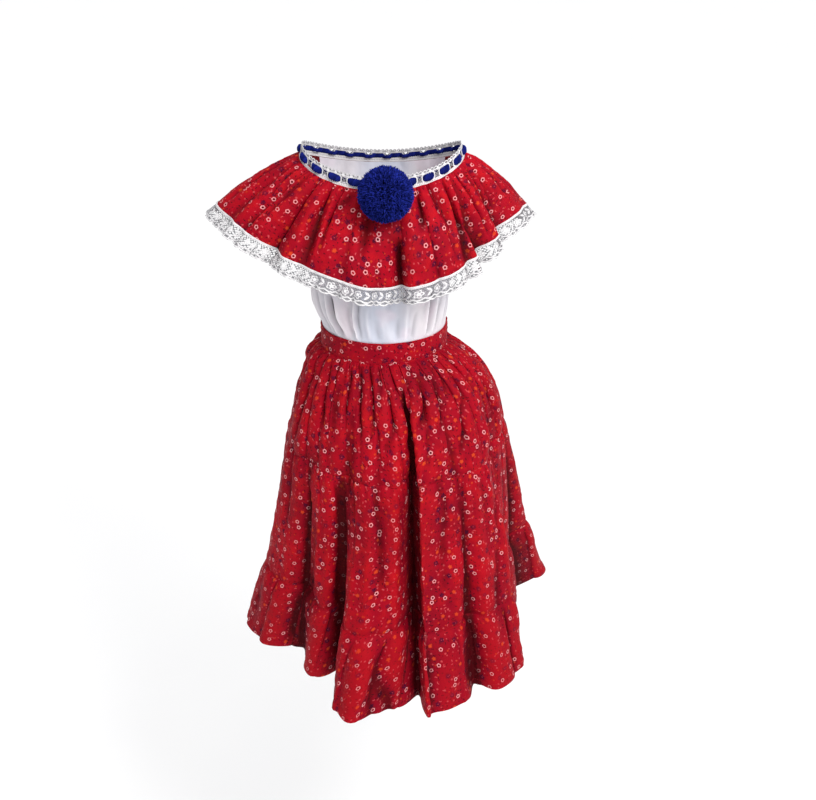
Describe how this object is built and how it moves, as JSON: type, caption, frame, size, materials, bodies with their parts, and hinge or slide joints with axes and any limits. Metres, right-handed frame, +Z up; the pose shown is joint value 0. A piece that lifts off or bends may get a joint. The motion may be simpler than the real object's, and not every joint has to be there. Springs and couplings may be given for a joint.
{
  "type": "panamanian folk dress",
  "caption": "Off-shoulder blouse with a lace-edged gathered ruffle, yarn-threaded neckline and pompom, over a long tiered skirt with a flounce.",
  "frame": {"origin": "middle of the waist, at half the waistband's height", "axes": "+Z up the body, -Y to the front, +X to the wearer's left"},
  "size_m": [0.5682, 0.5836, 0.8677],
  "materials": {
    "cotton": "matt printed cotton",
    "satin": "soft satin sheen",
    "lace": "matt cotton lace",
    "wool": "fluffy wool yarn"
  },
  "bodies": {
    "root": {"bodice_front": "satin", "bodice_back": "satin", "ruffle_front": "cotton", "ruffle_back": "cotton", "ruffle_lace_front": "lace", "ruffle_lace_back": "lace", "neck_lace_front": "lace", "neck_lace_back": "lace", "waistband_front": "cotton", "waistband_back": "cotton", "skirt_top_front": "cotton", "skirt_top_back": "cotton", "skirt_middle_front": "cotton", "skirt_middle_back": "cotton", "flounce_front": "cotton", "flounce_back": "cotton", "neck_yarn": "wool", "pompom": "wool"}
  },
  "joints": []
}
